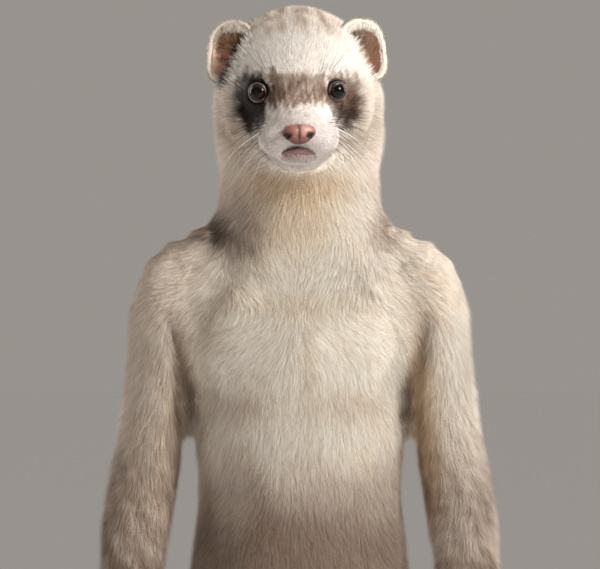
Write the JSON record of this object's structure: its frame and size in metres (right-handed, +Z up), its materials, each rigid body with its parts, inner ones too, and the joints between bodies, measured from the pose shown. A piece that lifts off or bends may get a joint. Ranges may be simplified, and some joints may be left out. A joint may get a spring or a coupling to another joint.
{
  "type": "ferret",
  "caption": "Life-size ferret standing upright on its hind feet, facing forwards, forelegs hanging at its sides and tail laid on the floor behind.",
  "frame": {"origin": "on the floor, under the middle of the whole ferret's box", "axes": "+Z up, the ferret faces -Y, its left side is at +X"},
  "size_m": [0.1506, 0.2172, 0.3731],
  "materials": {
    "fur_cream": "soft cream winter coat with a darker mask and neck patches",
    "fur_brown": "dark brown guard hair of the tail and hind legs",
    "nose_skin": "moist pink pebbled skin of the nose and paw pads",
    "ear_skin": "thin pink skin with short cream hair",
    "eye": "wet dark brown",
    "claw": "translucent pale horn"
  },
  "bodies": {
    "root": {"head": "fur_cream", "jaw": "fur_cream", "neck": "fur_cream", "chest": "fur_cream", "belly": "fur_cream", "rump": "fur_cream", "tail_base": "fur_brown", "tail_end": "fur_brown", "upper_arm_left": "fur_cream", "forearm_left": "fur_cream", "forepaw_left": "fur_cream", "thigh_left": "fur_cream", "shank_left": "fur_brown", "hind_foot_left": "fur_brown", "ear_left": "ear_skin", "eye_left": "eye", "claw_fore_left_1": "claw", "claw_fore_left_2": "claw", "claw_fore_left_3": "claw", "claw_fore_left_4": "claw", "claw_fore_left_5": "claw", "claw_hind_left_1": "claw", "claw_hind_left_2": "claw", "claw_hind_left_3": "claw", "claw_hind_left_4": "claw", "claw_hind_left_5": "claw", "upper_arm_right": "fur_cream", "forearm_right": "fur_cream", "forepaw_right": "fur_cream", "thigh_right": "fur_cream", "shank_right": "fur_brown", "hind_foot_right": "fur_brown", "ear_right": "ear_skin", "eye_right": "eye", "claw_fore_right_1": "claw", "claw_fore_right_2": "claw", "claw_fore_right_3": "claw", "claw_fore_right_4": "claw", "claw_fore_right_5": "claw", "claw_hind_right_1": "claw", "claw_hind_right_2": "claw", "claw_hind_right_3": "claw", "claw_hind_right_4": "claw", "claw_hind_right_5": "claw", "nose": "nose_skin"}
  },
  "joints": []
}
